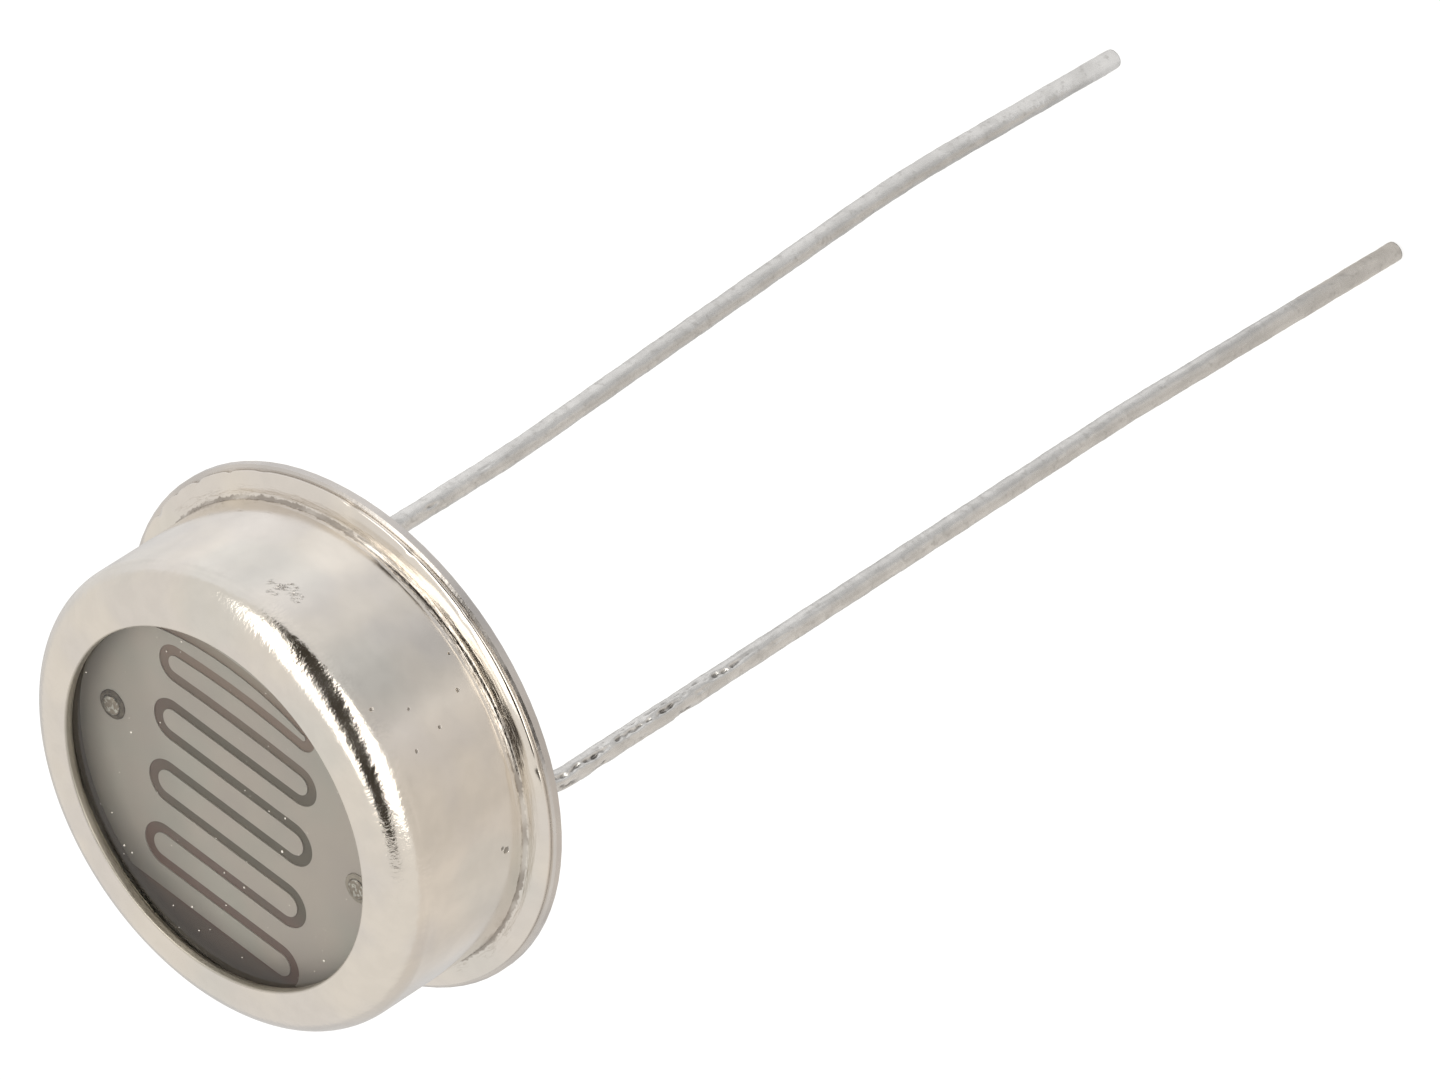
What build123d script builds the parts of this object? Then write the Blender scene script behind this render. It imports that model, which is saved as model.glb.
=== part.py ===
# Photoresistor in a round metal can with a glass window, a comb electrode cell and two wire leads.
# All sizes are in millimetres. +Z points out through the window. The origin is the middle of the
# header's underside, X runs through the two leads, and the leads hang down along -Z.
import os
from math import cos, radians, sin

from build123d import *

# Can
TOTAL_HEIGHT = 5.15        # header underside to front ring
CAN_DIAMETER = 13.60       # outside of the side wall
SHEET = 0.25               # thickness of the drawn sheet
FRONT_EDGE_RADIUS = 1.00   # outside of the bend between wall and front ring
ROOT_RADIUS = 0.15         # hollow corner between wall and flange
RING_WIDTH = 1.53          # side wall in to the window opening
EDGE_BREAK = 0.06          # bevel that the punch and the plating leave on cut edges

# Header
FLANGE_WIDTH = 0.80        # side wall out to the header's rim
FLANGE_STEP = 0.125        # the can's flange ends this far inside the header's
FLANGE_FALL = 32           # slope, in degrees, that the crowned flange has reached at its rim
HEADER_FLANGE_THICKNESS = 0.32
PLATFORM_FIT = 0.10        # radial room between the platform and the can's inside
SEAL_HOLE_DIAMETER = 1.80
SEAL_RECESS = 0.08         # the glass beads end a little short of the metal at both faces

# Window
GLASS_OVERLAP = 0.45       # glass behind the front ring
GLASS_THICKNESS = 0.40
SEAL_ANGLE = 35            # how far the sealing ring climbs down the can's inner bend, from the wall

# Cell
FACE_DEPTH = 0.85          # front ring down to the electrode film
CELL_ROOM = 0.60           # radial room between the ceramic disc and the can
CERAMIC_THICKNESS = 2.00
FILM_THICKNESS = 0.05      # photoconductive film
METAL_THICKNESS = 0.03     # electrode film
METAL_MARGIN = 0.38        # bare rim of the film outside the electrodes
LEAD_INSET = 1.52          # disc's edge in to a lead's axis
LEAD_HOLE_FIT = 0.10       # radial room round a lead in the ceramic disc

# Winding gap between the two comb electrodes. Its runs lie along X, one above the other.
# The mask is drawn for a metal film of MASK_RADIUS and is enlarged or reduced with the cell.
MASK_RADIUS = 5.57
GAP_WIDTH = 0.33
RUN_HEIGHTS = (4.06, 3.33, 2.40, 1.41, 0.40, -0.65, -1.71, -2.79, -3.84, -4.87)
RUN_ARCH = (0.34, 0.12, 0.05, 0, 0, 0, 0, 0, 0, 0)   # how far the middle of a run bows up
LEFT_TURN_START, LEFT_TURN_STEP = -2.58, 0.18       # where a left turn begins, and its shift per turn
RIGHT_TURN_START, RIGHT_TURN_STEP = 1.86, 0.12      # the same for the right turns
TOP_EXIT_ANGLE = 148.0                              # where the first run leaves the film, from +X
EXIT_OVERRUN = 0.25                                 # how far past the film's edge it is drawn

# Leads
LEAD_DIAMETER = 0.58
LEAD_TIP_RISE = 0.10       # lead tip above the electrode film
LEFT_LEAD_REACH = 35.75    # seating face down to the left lead's end
RIGHT_LEAD_REACH = 36.50
ROOT_STRAIGHT = 0.70       # straight length below the header
BEND_DIRECTION = -32.5     # both leads are bent in upright planes at this angle from X
# Small handling bends from the header down, as (straight length before it, radius, angle).
LEFT_BENDS = ((0, 40.0, 0.4), (8.8, 60.0, -2.5), (12.7, 60.0, 3.95))
RIGHT_BENDS = ((0, 3.6, 21.8), (0, 3.6, -21.6), (21.3, 60.0, 1.5))
TIP_CHAMFER = 0.05

# Cement beads on the film
BEAD_DIAMETER = 0.92
BEAD_HEIGHT = 0.08

# Heights that follow from the sizes above
can_radius = CAN_DIAMETER / 2
bore_radius = can_radius - SHEET
window_radius = can_radius - RING_WIDTH
glass_radius = window_radius + GLASS_OVERLAP
header_radius = can_radius + FLANGE_WIDTH
can_flange_radius = header_radius - FLANGE_STEP
cell_radius = bore_radius - CELL_ROOM
metal_radius = cell_radius - METAL_MARGIN
mask_scale = metal_radius / MASK_RADIUS
gap_width = GAP_WIDTH * mask_scale
flange_top = HEADER_FLANGE_THICKNESS + SHEET
bend_centre = can_radius - FRONT_EDGE_RADIUS
bend_height = TOTAL_HEIGHT - FRONT_EDGE_RADIUS
plate_underside = TOTAL_HEIGHT - SHEET
face_height = TOTAL_HEIGHT - FACE_DEPTH
film_top = face_height - METAL_THICKNESS
ceramic_top = film_top - FILM_THICKNESS
platform_top = ceramic_top - CERAMIC_THICKNESS
lead_radius = LEAD_DIAMETER / 2
lead_hole_radius = lead_radius + LEAD_HOLE_FIT
lead_spots = {"left": LEAD_INSET - cell_radius, "right": cell_radius - LEAD_INSET}


def turned(edges):
    """Spin a closed outline in the XZ plane round the Z axis."""
    face = make_face(Plane.XZ * Wire(edges))
    return revolve(face, axis=Axis.Z)


def can():
    """One sheet profile: flange, root bend, wall, front bend and front ring, ending at the opening."""
    root = can_radius + ROOT_RADIUS
    root_height = flange_top + ROOT_RADIUS
    rim = can_flange_radius
    crown_width = rim - EDGE_BREAK / 2 - root
    crown_radius = crown_width / sin(radians(FLANGE_FALL))
    crown_edge = (root + crown_width, flange_top - crown_radius * (1 - cos(radians(FLANGE_FALL))))
    edges = [
        Line((root, HEADER_FLANGE_THICKNESS), (rim, HEADER_FLANGE_THICKNESS)),
        Line((rim, HEADER_FLANGE_THICKNESS), (rim, crown_edge[1] - EDGE_BREAK)),
        Line((rim, crown_edge[1] - EDGE_BREAK), crown_edge),
        CenterArc((root, flange_top - crown_radius), crown_radius, 90 - FLANGE_FALL, FLANGE_FALL),
        CenterArc((root, root_height), ROOT_RADIUS, 270, -90),
        Line((can_radius, root_height), (can_radius, bend_height)),
        CenterArc((bend_centre, bend_height), FRONT_EDGE_RADIUS, 0, 90),
        Line((bend_centre, TOTAL_HEIGHT), (window_radius + EDGE_BREAK, TOTAL_HEIGHT)),
        Line((window_radius + EDGE_BREAK, TOTAL_HEIGHT), (window_radius, TOTAL_HEIGHT - EDGE_BREAK)),
        Line((window_radius, TOTAL_HEIGHT - EDGE_BREAK), (window_radius, plate_underside)),
        Line((window_radius, plate_underside), (bend_centre, plate_underside)),
        CenterArc((bend_centre, bend_height), FRONT_EDGE_RADIUS - SHEET, 90, -90),
        Line((bore_radius, bend_height), (bore_radius, root_height)),
        CenterArc((root, root_height), ROOT_RADIUS + SHEET, 180, 90),
    ]
    return turned(edges)


def window_glass():
    """Flat disc pressed against the back of the front ring."""
    middle = plate_underside - GLASS_THICKNESS / 2
    return Pos(0, 0, middle) * Cylinder(glass_radius, GLASS_THICKNESS)


def window_seal():
    """Ring of sealing glass that fills the corner between window, front ring and front bend."""
    inner_bend = FRONT_EDGE_RADIUS - SHEET
    glass_edge = glass_radius
    foot = (
        bend_centre + inner_bend * cos(radians(SEAL_ANGLE)),
        bend_height + inner_bend * sin(radians(SEAL_ANGLE)),
    )
    lip = (glass_edge, plate_underside - GLASS_THICKNESS + EDGE_BREAK)
    edges = [
        Line(lip, (glass_edge, plate_underside)),
        Line((glass_edge, plate_underside), (bend_centre, plate_underside)),
        CenterArc((bend_centre, bend_height), inner_bend, 90, SEAL_ANGLE - 90),
        Line(foot, lip),
    ]
    return turned(edges)


def header():
    """Flange disc and raised platform in one piece, with the two lead holes."""
    flange = header_radius
    platform = bore_radius - PLATFORM_FIT
    edges = [
        Line((0, 0), (flange - EDGE_BREAK, 0)),
        Line((flange - EDGE_BREAK, 0), (flange, EDGE_BREAK)),
        Line((flange, EDGE_BREAK), (flange, HEADER_FLANGE_THICKNESS - EDGE_BREAK)),
        Line((flange, HEADER_FLANGE_THICKNESS - EDGE_BREAK), (flange - EDGE_BREAK, HEADER_FLANGE_THICKNESS)),
        Line((flange - EDGE_BREAK, HEADER_FLANGE_THICKNESS), (platform, HEADER_FLANGE_THICKNESS)),
        Line((platform, HEADER_FLANGE_THICKNESS), (platform, platform_top - EDGE_BREAK)),
        Line((platform, platform_top - EDGE_BREAK), (platform - EDGE_BREAK, platform_top)),
        Line((platform - EDGE_BREAK, platform_top), (0, platform_top)),
        Line((0, platform_top), (0, 0)),
    ]
    body = turned(edges)
    for x in lead_spots.values():
        body -= Pos(x, 0, platform_top / 2) * Cylinder(SEAL_HOLE_DIAMETER / 2, platform_top)
    return body


def glass_seal(x):
    """Glass bead that holds a lead in its header hole, a little short of both faces."""
    height = platform_top - 2 * SEAL_RECESS
    bead = Cylinder(SEAL_HOLE_DIAMETER / 2, height) - Cylinder(lead_radius, height)
    return Pos(x, 0, platform_top / 2) * bead


def wire_line(bends, reach):
    """The lead's middle line drawn flat: through the header, then its bends, then straight to its reach."""
    pieces = [Line((0, face_height + LEAD_TIP_RISE), (0, -ROOT_STRAIGHT))]
    for straight, radius, angle in bends:
        if straight:
            pieces.append(Line(pieces[-1] @ 1, pieces[-1] @ 1 + (pieces[-1] % 1) * straight))
        pieces.append(JernArc(pieces[-1] @ 1, pieces[-1] % 1, radius, angle))
    heading, last = pieces[-1] % 1, pieces[-1] @ 1
    return pieces + [Line(last, last - heading * ((reach + last.Y) / heading.Y))]


def lead(x, bends, reach):
    """Round wire along its middle line, stood up in the plane it is bent in."""
    turn = radians(BEND_DIRECTION)
    wall = Plane((x, 0, 0), x_dir=(cos(turn), sin(turn), 0), z_dir=(sin(turn), -cos(turn), 0))
    wire = Part()
    for piece in wire_line(bends, reach):
        run = wall * piece
        wire += sweep(Plane(run @ 0, z_dir=run % 0) * Circle(lead_radius), path=run)
    ends = wire.faces().filter_by(GeomType.PLANE).sort_by(Axis.Z)
    return chamfer([ends[0].edge(), ends[-1].edge()], TIP_CHAMFER)


def cell_disc(low, thickness):
    """Round slab of the cell with the two lead holes."""
    holes = [Pos(x, 0) * Cylinder(lead_hole_radius, thickness) for x in lead_spots.values()]
    disc = Cylinder(cell_radius, thickness) - holes
    return Pos(0, 0, low + thickness / 2) * disc


def turn_x(row):
    """Where the turn below a run begins on the mask: even runs turn at the right, odd ones at the left."""
    if row % 2 == 0:
        return RIGHT_TURN_START + RIGHT_TURN_STEP * (row // 2)
    return LEFT_TURN_START + LEFT_TURN_STEP * (row // 2)


def gap_spine():
    """Middle line of the gap on the mask: runs and half-circle turns in order, from the upper left down."""
    overrun = MASK_RADIUS + EXIT_OVERRUN
    top_exit = (overrun * cos(radians(TOP_EXIT_ANGLE)), overrun * sin(radians(TOP_EXIT_ANGLE)))
    last = len(RUN_HEIGHTS) - 1
    spine = []
    start = top_exit
    for row, y in enumerate(RUN_HEIGHTS):
        arch = RUN_ARCH[row]
        end = (turn_x(row) if row < last else -MASK_RADIUS, y - arch)
        middle = ((start[0] + end[0]) / 2 if row else 0, y)
        spine.append(ThreePointArc(start, middle, end) if arch else Line(start, end))
        if row < last:
            start = (end[0], RUN_HEIGHTS[row + 1] - RUN_ARCH[row + 1])
            reach = (end[1] - start[1]) / 2
            side = 1 if row % 2 == 0 else -1
            spine.append(ThreePointArc(end, (end[0] + side * reach, end[1] - reach), start))
    return spine


def winding_gap():
    """The gap as a flat band along its middle line, with round joints, at the cell's size."""
    band = Sketch()
    for piece in gap_spine():
        piece = piece.scale(mask_scale)
        band += trace(piece, gap_width)
        band += Pos(piece @ 1) * Circle(gap_width / 2)
    return band


def electrodes():
    """Metal film parted into two combs by the winding gap. Below the last run the film stays bare."""
    metal = Sketch() + Circle(metal_radius)
    metal -= winding_gap()
    bare_edge = RUN_HEIGHTS[-1] * mask_scale + gap_width / 2
    metal -= Pos(0, bare_edge - metal_radius) * Rectangle(3 * metal_radius, 2 * metal_radius)
    metal -= [Pos(x, 0) * Circle(lead_hole_radius) for x in lead_spots.values()]
    combs = metal.faces().sort_by(SortBy.AREA)[-2:].sort_by(Axis.X)
    return [Pos(0, 0, film_top) * extrude(comb, METAL_THICKNESS) for comb in combs]


def contact_bead(x):
    """Ring of conductive cement that joins the lead's tip to its electrode and fills the hole below."""
    bead_radius = BEAD_DIAMETER / 2
    ridge = ((lead_radius + bead_radius) / 2, face_height + BEAD_HEIGHT)
    edges = [
        Line((lead_radius, film_top - FILM_THICKNESS), (lead_hole_radius, film_top - FILM_THICKNESS)),
        Line((lead_hole_radius, film_top - FILM_THICKNESS), (lead_hole_radius, face_height)),
        Line((lead_hole_radius, face_height), (bead_radius, face_height)),
        Line((bead_radius, face_height), ridge),
        Line(ridge, (lead_radius, face_height + BEAD_HEIGHT / 2)),
        Line((lead_radius, face_height + BEAD_HEIGHT / 2), (lead_radius, film_top - FILM_THICKNESS)),
    ]
    return Pos(x, 0, 0) * turned(edges)


def all_parts():
    left, right = electrodes()
    return {
        "cap": can(),
        "window_glass": window_glass(),
        "window_seal": window_seal(),
        "header": header(),
        "glass_seal_left": glass_seal(lead_spots["left"]),
        "glass_seal_right": glass_seal(lead_spots["right"]),
        "lead_left": lead(lead_spots["left"], LEFT_BENDS, LEFT_LEAD_REACH),
        "lead_right": lead(lead_spots["right"], RIGHT_BENDS, RIGHT_LEAD_REACH),
        "ceramic_substrate": cell_disc(platform_top, CERAMIC_THICKNESS),
        "cds_layer": cell_disc(ceramic_top, FILM_THICKNESS),
        "electrode_left": left,
        "electrode_right": right,
        "contact_bead_left": contact_bead(lead_spots["left"]),
        "contact_bead_right": contact_bead(lead_spots["right"]),
    }


def main():
    os.makedirs("parts", exist_ok=True)
    for name, shape in all_parts().items():
        solids = shape.solids()
        print(name, len(solids), "solid,", round(sum(s.volume for s in solids), 3), "mm3")
        export_step(shape, f"parts/{name}.step")


main()
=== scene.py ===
# %% [markdown]
# # A photoresistor in a metal can
# The part is a light-dependent resistor about 15 mm across: a nickel-plated can with a flat
# glass window, a grey comb-electrode cell behind the glass, and two tinned wire leads.
# The CAD model already has the right shape and size, so this lesson adds what makes it look
# real: plated metal that mirrors its surroundings, glass, films, dents, pits and dust.
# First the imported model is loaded. Its nodes are in metres and stay where they are.

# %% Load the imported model
import math

import bpy
import numpy as np
from mathutils import Matrix, Vector


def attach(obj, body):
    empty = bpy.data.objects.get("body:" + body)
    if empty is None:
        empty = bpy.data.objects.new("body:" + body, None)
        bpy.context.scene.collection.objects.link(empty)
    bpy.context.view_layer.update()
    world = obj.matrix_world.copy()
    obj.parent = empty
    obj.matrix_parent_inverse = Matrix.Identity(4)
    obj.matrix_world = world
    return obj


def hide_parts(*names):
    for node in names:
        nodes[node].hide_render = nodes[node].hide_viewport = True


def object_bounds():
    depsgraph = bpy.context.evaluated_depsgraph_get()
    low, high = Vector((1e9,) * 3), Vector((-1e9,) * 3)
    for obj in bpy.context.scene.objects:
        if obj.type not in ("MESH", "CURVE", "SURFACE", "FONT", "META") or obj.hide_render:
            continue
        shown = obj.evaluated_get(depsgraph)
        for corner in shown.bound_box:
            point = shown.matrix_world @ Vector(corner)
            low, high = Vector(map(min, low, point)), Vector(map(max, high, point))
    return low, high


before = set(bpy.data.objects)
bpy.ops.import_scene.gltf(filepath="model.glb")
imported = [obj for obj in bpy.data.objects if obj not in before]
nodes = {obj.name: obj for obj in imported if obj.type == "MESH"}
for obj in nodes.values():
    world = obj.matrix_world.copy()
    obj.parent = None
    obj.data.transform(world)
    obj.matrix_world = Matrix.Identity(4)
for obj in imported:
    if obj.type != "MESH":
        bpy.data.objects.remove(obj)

cad_box = [list(corner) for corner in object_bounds()]
MM = 0.001
print("nodes:", ", ".join(sorted(nodes)))

# %% [markdown]
# ## The camera
# The photograph was taken from far away with a long lens, so parallel edges stay parallel.
# A camera could be placed by eye, but its place was worked out instead from the ellipses of the
# can's rim and window, which leaves only one answer. The camera is rolled, so the part's own
# upright axis runs to the lower left in the picture, and the leads run to the upper right.

# %% Camera
TO_RIGHT = Vector((0.7311, 0.1364, -0.6685))     # the picture's right, in the part's axes
TO_TOP = Vector((-0.5316, 0.7281, -0.4328))      # the picture's top
TO_LENS = Vector((0.4277, 0.6718, 0.6048))       # from the part to the lens
CAMERA_PLACE = Vector((182.99, 285.07, 243.79)) * MM
LENS, SENSOR = 400, 36                           # focal length and sensor width in millimetres

camera = bpy.data.objects.new("camera", bpy.data.cameras.new("camera"))
turn = Matrix((TO_RIGHT, TO_TOP, TO_LENS)).transposed()
camera.matrix_world = Matrix.Translation(CAMERA_PLACE) @ turn.to_4x4()
camera.data.lens, camera.data.sensor_width = LENS, SENSOR
camera.data.clip_start, camera.data.clip_end = 0.01, 20
bpy.context.scene.collection.objects.link(camera)
bpy.context.scene.camera = camera
print("camera", round(CAMERA_PLACE.length / MM), "mm from the part")

# %% [markdown]
# ## Floor, world and lamps
# Polished metal has hardly any colour of its own: it shows the room. The photograph's can
# mirrors an even, warm white tent, two bright panels left and right of the lens, and the dark
# camera between them. Each surface of the can was traced back along its mirrored ray to find
# where they stand. A painted gradient on the metal could copy the streaks, but it would be
# wrong from every other side, so the panels are real lamps and the camera is a dark card that
# only mirrored rays can see.

# %% Node helper
def add_node(tree, kind, inputs=None, **settings):
    """Add a shader node, set its properties, and fill or link its inputs by name or number."""
    node = tree.nodes.new(kind)
    for key, value in settings.items():
        setattr(node, key, value)
    for key, value in (inputs or {}).items():
        if isinstance(value, bpy.types.NodeSocket):
            tree.links.new(value, node.inputs[key])
        else:
            node.inputs[key].default_value = value
    return node


def new_material(name):
    """An empty node material and its output node."""
    material = bpy.data.materials.new(name)
    material.use_nodes = True
    material.node_tree.nodes.clear()
    output = material.node_tree.nodes.new("ShaderNodeOutputMaterial")
    return material, material.node_tree, output


def mesh_piece(name, points, faces, material=None, smooth=True):
    """A mesh object at the origin from arrays of points and faces."""
    mesh = bpy.data.meshes.new(name)
    mesh.from_pydata(np.asarray(points, float).tolist(), [], np.asarray(faces).tolist())
    mesh.polygons.foreach_set("use_smooth", [smooth] * len(mesh.polygons))
    mesh.update()
    piece = bpy.data.objects.new(name, mesh)
    bpy.context.scene.collection.objects.link(piece)
    if material:
        mesh.materials.append(material)
    return piece


# %% World
TENT = (0.90, 0.87, 0.83, 1)
world = bpy.data.worlds.new("tent")
bpy.context.scene.world = world
world.use_nodes = True
world.node_tree.nodes["Background"].inputs["Color"].default_value = TENT
world.node_tree.nodes["Background"].inputs["Strength"].default_value = 0.92

# %% [markdown]
# The side wall mirrors the floor, a ring of it about 50 mm from the can. So the floor has two
# faces: the lens sees plain white paper that keeps the shadow, and mirrored rays see paper in
# the light of a small tent, a little warm, dimmer right under the part, with soft dim patches
# where the camera and its stand keep light off. A patch at an angle round the can shows up on
# the wall at about half that angle from the lens side.

# %% Floor
# Angle, half width and depth of each dim patch. A negative depth is a brighter one.
DIM_PATCHES = ((62, 20, 0.15), (92, 19, 0.11), (6, 24, 0.05), (-27, 22, -0.035), (-78, 28, 0.06),
               (-117, 32, 0.07), (-150, 40, 0.08))
FLOOR_REACH, FLOOR_GAP = 3, 0.0001      # metres from the middle to an edge, and below the leads
FLOOR_LIGHT = 0.76                      # what mirrored rays see on the dim side
BRIGHT_SIDE = (150, 95, 0.18)           # angle and half width of the bright side, and the light it adds
SHADED = (0.012, 0.046, 0.88)           # shade under the part: from and to in metres, and its light
CLOUD_SCALE, CLOUD_LIGHT = 42.0, (0.90, 1.07)                           # soft uneven light
WARM_TINT, COOL_TINT = (1.0, 0.935, 0.865, 1), (1.0, 0.985, 0.975, 1)   # toward the lens, and away


def floor_paper(height):
    """White to the lens. To mirrored rays it glows unevenly, by the angle round the can."""
    paint, tree, output = new_material("floor_white")
    path = add_node(tree, "ShaderNodeLightPath").outputs
    here = add_node(tree, "ShaderNodeTexCoord").outputs["Object"]
    flat = add_node(tree, "ShaderNodeVectorMath", {0: here, 1: (1, 1, 0)}, operation="MULTIPLY").outputs[0]
    way = add_node(tree, "ShaderNodeVectorMath", {0: flat}, operation="NORMALIZE").outputs[0]

    def facing(degrees, half_width):
        angle = math.radians(degrees)
        inputs = {0: way, 1: (math.cos(angle), math.sin(angle), 0)}
        near = add_node(tree, "ShaderNodeVectorMath", inputs, operation="DOT_PRODUCT").outputs["Value"]
        limits = {"Value": near, "From Min": math.cos(math.radians(half_width)), "From Max": 1.0}
        return add_node(tree, "ShaderNodeMapRange", limits, interpolation_type="SMOOTHSTEP").outputs["Result"]

    angle, half_width, added = BRIGHT_SIDE
    inputs = {0: facing(angle, half_width), 1: added, 2: FLOOR_LIGHT}
    light = add_node(tree, "ShaderNodeMath", inputs, operation="MULTIPLY_ADD").outputs[0]
    for degrees, half_width, depth in DIM_PATCHES:
        inputs = {0: facing(degrees, half_width), 1: -depth, 2: light}
        light = add_node(tree, "ShaderNodeMath", inputs, operation="MULTIPLY_ADD").outputs[0]
    reach = add_node(tree, "ShaderNodeVectorMath", {0: flat}, operation="LENGTH").outputs["Value"]
    near, far, shade = SHADED
    limits = {"Value": reach, "From Min": near, "From Max": far, "To Min": shade, "To Max": 1.0}
    under = add_node(tree, "ShaderNodeMapRange", limits, interpolation_type="SMOOTHSTEP").outputs["Result"]
    light = add_node(tree, "ShaderNodeMath", {0: light, 1: under}, operation="MULTIPLY").outputs[0]
    inputs = {"Vector": here, "Scale": CLOUD_SCALE, "Detail": 2.0}
    clouds = add_node(tree, "ShaderNodeTexNoise", inputs).outputs[0]
    low, high = CLOUD_LIGHT
    limits = {"Value": clouds, "From Min": 0.3, "From Max": 0.7, "To Min": low, "To Max": high}
    cloudy = add_node(tree, "ShaderNodeMapRange", limits).outputs["Result"]
    light = add_node(tree, "ShaderNodeMath", {0: light, 1: cloudy}, operation="MULTIPLY").outputs[0]
    inputs = {0: facing(-15, 85), 6: COOL_TINT, 7: WARM_TINT}
    tint = add_node(tree, "ShaderNodeMix", inputs, data_type="RGBA")
    mirrored = add_node(tree, "ShaderNodeEmission", {"Color": tint.outputs[2], "Strength": light})
    pale = add_node(tree, "ShaderNodeBsdfDiffuse", {"Color": (0.3, 0.3, 0.3, 1)})
    glow = add_node(tree, "ShaderNodeEmission", {"Color": (1, 1, 1, 1), "Strength": 0.78})
    bright = add_node(tree, "ShaderNodeAddShader", {0: pale.outputs[0], 1: glow.outputs[0]})
    matte = add_node(tree, "ShaderNodeBsdfDiffuse", {"Color": (0.8, 0.79, 0.77, 1)})
    inputs = {0: path["Is Glossy Ray"], 1: matte.outputs[0], 2: mirrored.outputs[0]}
    reflected = add_node(tree, "ShaderNodeMixShader", inputs)
    inputs = {0: path["Is Camera Ray"], 1: path["Is Transmission Ray"]}
    direct = add_node(tree, "ShaderNodeMath", inputs, operation="MAXIMUM")
    inputs = {0: direct.outputs[0], 1: reflected.outputs[0], 2: bright.outputs[0]}
    both = add_node(tree, "ShaderNodeMixShader", inputs)
    tree.links.new(both.outputs[0], output.inputs["Surface"])
    corners = [(x * FLOOR_REACH, y * FLOOR_REACH, height) for x, y in ((-1, -1), (1, -1), (1, 1), (-1, 1))]
    return mesh_piece("floor", corners, [(0, 1, 2, 3)], paint)


floor = floor_paper(cad_box[0][2] - FLOOR_GAP)


# %% Panels and the dark card
PANEL_DISTANCE, CARD_DISTANCE = 0.5, 0.46       # metres from the part


def toward(right, up, distance):
    """The point at these angles, in degrees, right of and above the line from the part to the lens."""
    angle = math.radians(math.hypot(right, up))
    sideways = (TO_RIGHT * right + TO_TOP * up).normalized() if angle else Vector()
    return (TO_LENS * math.cos(angle) + sideways * math.sin(angle)) * distance


def panel(name, left, right, low, high, power, colour):
    """A rectangular lamp that fills these angles as seen from the part."""
    lamp = bpy.data.lights.new(name, "AREA")
    lamp.shape = "RECTANGLE"
    lamp.size = 2 * PANEL_DISTANCE * math.tan(math.radians(right - left) / 2)
    lamp.size_y = 2 * PANEL_DISTANCE * math.tan(math.radians(high - low) / 2)
    lamp.energy, lamp.color = power, colour
    stand = bpy.data.objects.new(name, lamp)
    place = toward((left + right) / 2, (low + high) / 2, PANEL_DISTANCE)
    facing = place.normalized()
    up = (TO_TOP - facing * TO_TOP.dot(facing)).normalized()
    side = up.cross(facing)
    stand.matrix_world = Matrix.Translation(place) @ Matrix((side, up, facing)).transposed().to_4x4()
    bpy.context.scene.collection.objects.link(stand)


WARM = (1.0, 0.97, 0.91)
panel("panel_left", -47, -20, -36, 47, 1.0, WARM)
panel("panel_right", 8, 46, -30, 46, 1.4, WARM)


def card(name, corners, colour):
    """A flat four-cornered card that only mirrored rays see. Corners are (right, up) angles."""
    paint, tree, output = new_material(name)
    shade = add_node(tree, "ShaderNodeEmission", {"Color": colour, "Strength": 1.0})
    tree.links.new(shade.outputs[0], output.inputs["Surface"])
    piece = mesh_piece(name, [toward(r, u, CARD_DISTANCE) for r, u in corners], [(0, 1, 2, 3)], paint)
    piece.visible_camera = piece.visible_diffuse = piece.visible_shadow = False
    piece.visible_transmission = False


DARK = (0.045, 0.038, 0.030, 1)
card("camera_dark", [(-24, -50), (2, -50), (19, 62), (-6, 62)], DARK)

# %% Colour management
scene = bpy.context.scene
scene.view_settings.view_transform = "Standard"

# %% [markdown]
# ## Small tools for finishes
# Every finish below is a handful of the same steps: take noise, stretch its range, mix two
# colours, turn heights into a bump. They could be wired one node at a time, but then the wiring
# hides the idea. A short function for each step lets a finish read like a recipe.

# %% Finish tools
def noise(tree, vector, scale, detail=2.0, rough=0.5):
    """Soft random values from 0 to 1. With coordinates in metres, a scale of 1000 has cells of 1 mm."""
    inputs = {"Vector": vector, "Scale": scale, "Detail": detail, "Roughness": rough}
    return add_node(tree, "ShaderNodeTexNoise", inputs).outputs[0]


def cells(tree, vector, scale):
    """Round cells: 0 in the middle of each, and higher toward its border."""
    return add_node(tree, "ShaderNodeTexVoronoi", {"Vector": vector, "Scale": scale}).outputs["Distance"]


def spread(tree, value, low, high, start=0.0, end=1.0):
    """Turn values between low and high smoothly into start to end, and hold them outside."""
    limits = {"Value": value, "From Min": low, "From Max": high, "To Min": start, "To Max": end}
    return add_node(tree, "ShaderNodeMapRange", limits, interpolation_type="SMOOTHSTEP").outputs["Result"]


def calc(tree, how, first, second=0.0):
    """One sum on two numbers."""
    return add_node(tree, "ShaderNodeMath", {0: first, 1: second}, operation=how).outputs[0]


def vector_calc(tree, how, first, second):
    """One sum on two vectors."""
    return add_node(tree, "ShaderNodeVectorMath", {0: first, 1: second}, operation=how)


def scaled(tree, vector, factor):
    """A vector or colour times a number."""
    return add_node(tree, "ShaderNodeVectorMath", {0: vector, "Scale": factor}, operation="SCALE").outputs[0]


def mix(tree, amount, first, second):
    """Mix two colours."""
    inputs = {0: amount, 6: first, 7: second}
    return add_node(tree, "ShaderNodeMix", inputs, data_type="RGBA").outputs[2]


def bump(tree, height, depth, normal=None):
    """Turn heights of 0 to 1 into a bump that is depth metres deep."""
    inputs = {"Height": height, "Distance": depth, "Strength": 1.0}
    if normal:
        inputs["Normal"] = normal
    return add_node(tree, "ShaderNodeBump", inputs).outputs[0]


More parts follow.
